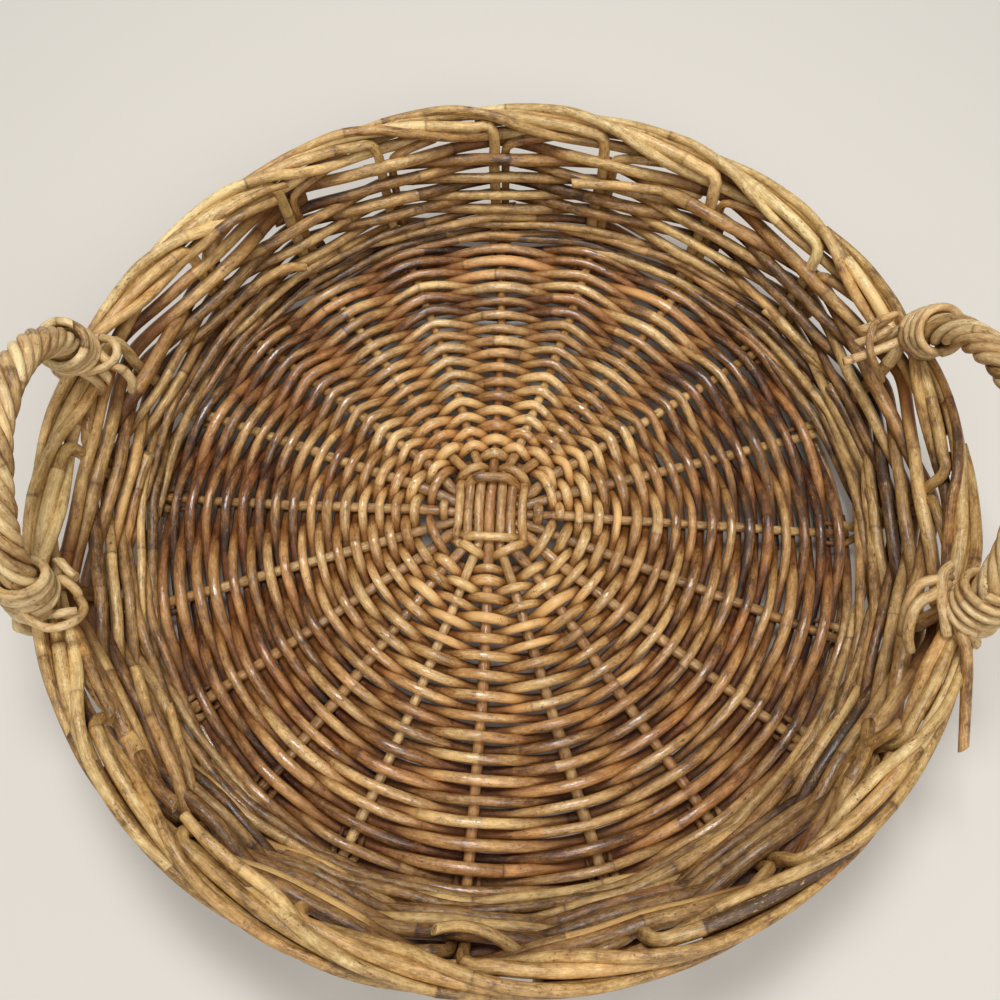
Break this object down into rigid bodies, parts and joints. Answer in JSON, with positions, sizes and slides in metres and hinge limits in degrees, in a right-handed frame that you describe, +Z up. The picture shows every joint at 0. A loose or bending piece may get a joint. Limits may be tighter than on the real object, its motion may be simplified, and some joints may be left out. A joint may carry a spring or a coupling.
{
  "type": "wicker tray basket",
  "caption": "Shallow round wicker tray basket with a woven domed base, flared open side, rolled rope-like border and two roped handles.",
  "frame": {"origin": "on the floor under the middle of the basket's box", "axes": "+Z up out of the tray, +X towards the handle on the right of the picture, +Y away from the viewer"},
  "size_m": [0.4616, 0.4584, 0.1611],
  "materials": {
    "stick_willow": "varnished unpeeled cane, semi-gloss",
    "base_willow": "varnished unpeeled cane, warm tan to orange brown, speckled, glossy on top",
    "wall_willow": "varnished unpeeled cane, grey brown and olive tan",
    "border_willow": "varnished unpeeled cane, yellowish tan, semi-gloss",
    "rope_willow": "pale tan cane, satin"
  },
  "bodies": {
    "root": {"base_stick_across_1": "stick_willow", "base_stick_across_2": "stick_willow", "base_stick_across_3": "stick_willow", "base_stick_across_4": "stick_willow", "base_stick_across_5": "stick_willow", "base_stick_along_1": "stick_willow", "base_stick_along_2": "stick_willow", "base_stick_along_3": "stick_willow", "base_stick_along_4": "stick_willow", "base_stick_along_5": "stick_willow", "base_weaver_a": "base_willow", "base_weaver_b": "base_willow", "bye_stake_01": "wall_willow", "bye_stake_03": "wall_willow", "bye_stake_04": "wall_willow", "bye_stake_05": "wall_willow", "bye_stake_06": "wall_willow", "bye_stake_07": "wall_willow", "bye_stake_08": "wall_willow", "bye_stake_09": "wall_willow", "bye_stake_11": "wall_willow", "bye_stake_13": "wall_willow", "bye_stake_14": "wall_willow", "bye_stake_15": "wall_willow", "bye_stake_16": "wall_willow", "bye_stake_17": "wall_willow", "bye_stake_18": "wall_willow", "bye_stake_19": "wall_willow", "foot_ring": "stick_willow", "handle_rope_left": "rope_willow", "handle_rope_right": "rope_willow", "lashing_left_far": "rope_willow", "lashing_left_near": "rope_willow", "lashing_right_far": "rope_willow", "lashing_right_near": "rope_willow", "side_stake_01": "border_willow", "side_stake_02": "border_willow", "side_stake_03": "border_willow", "side_stake_04": "border_willow", "side_stake_05": "border_willow", "side_stake_06": "border_willow", "side_stake_07": "border_willow", "side_stake_08": "border_willow", "side_stake_09": "border_willow", "side_stake_10": "border_willow", "side_stake_11": "border_willow", "side_stake_12": "border_willow", "side_stake_13": "border_willow", "side_stake_14": "border_willow", "side_stake_15": "border_willow", "side_stake_16": "border_willow", "side_stake_17": "border_willow", "side_stake_18": "border_willow", "side_stake_19": "border_willow", "side_stake_20": "border_willow", "wall_weaver_a": "wall_willow", "wall_weaver_b": "wall_willow"}
  },
  "joints": []
}
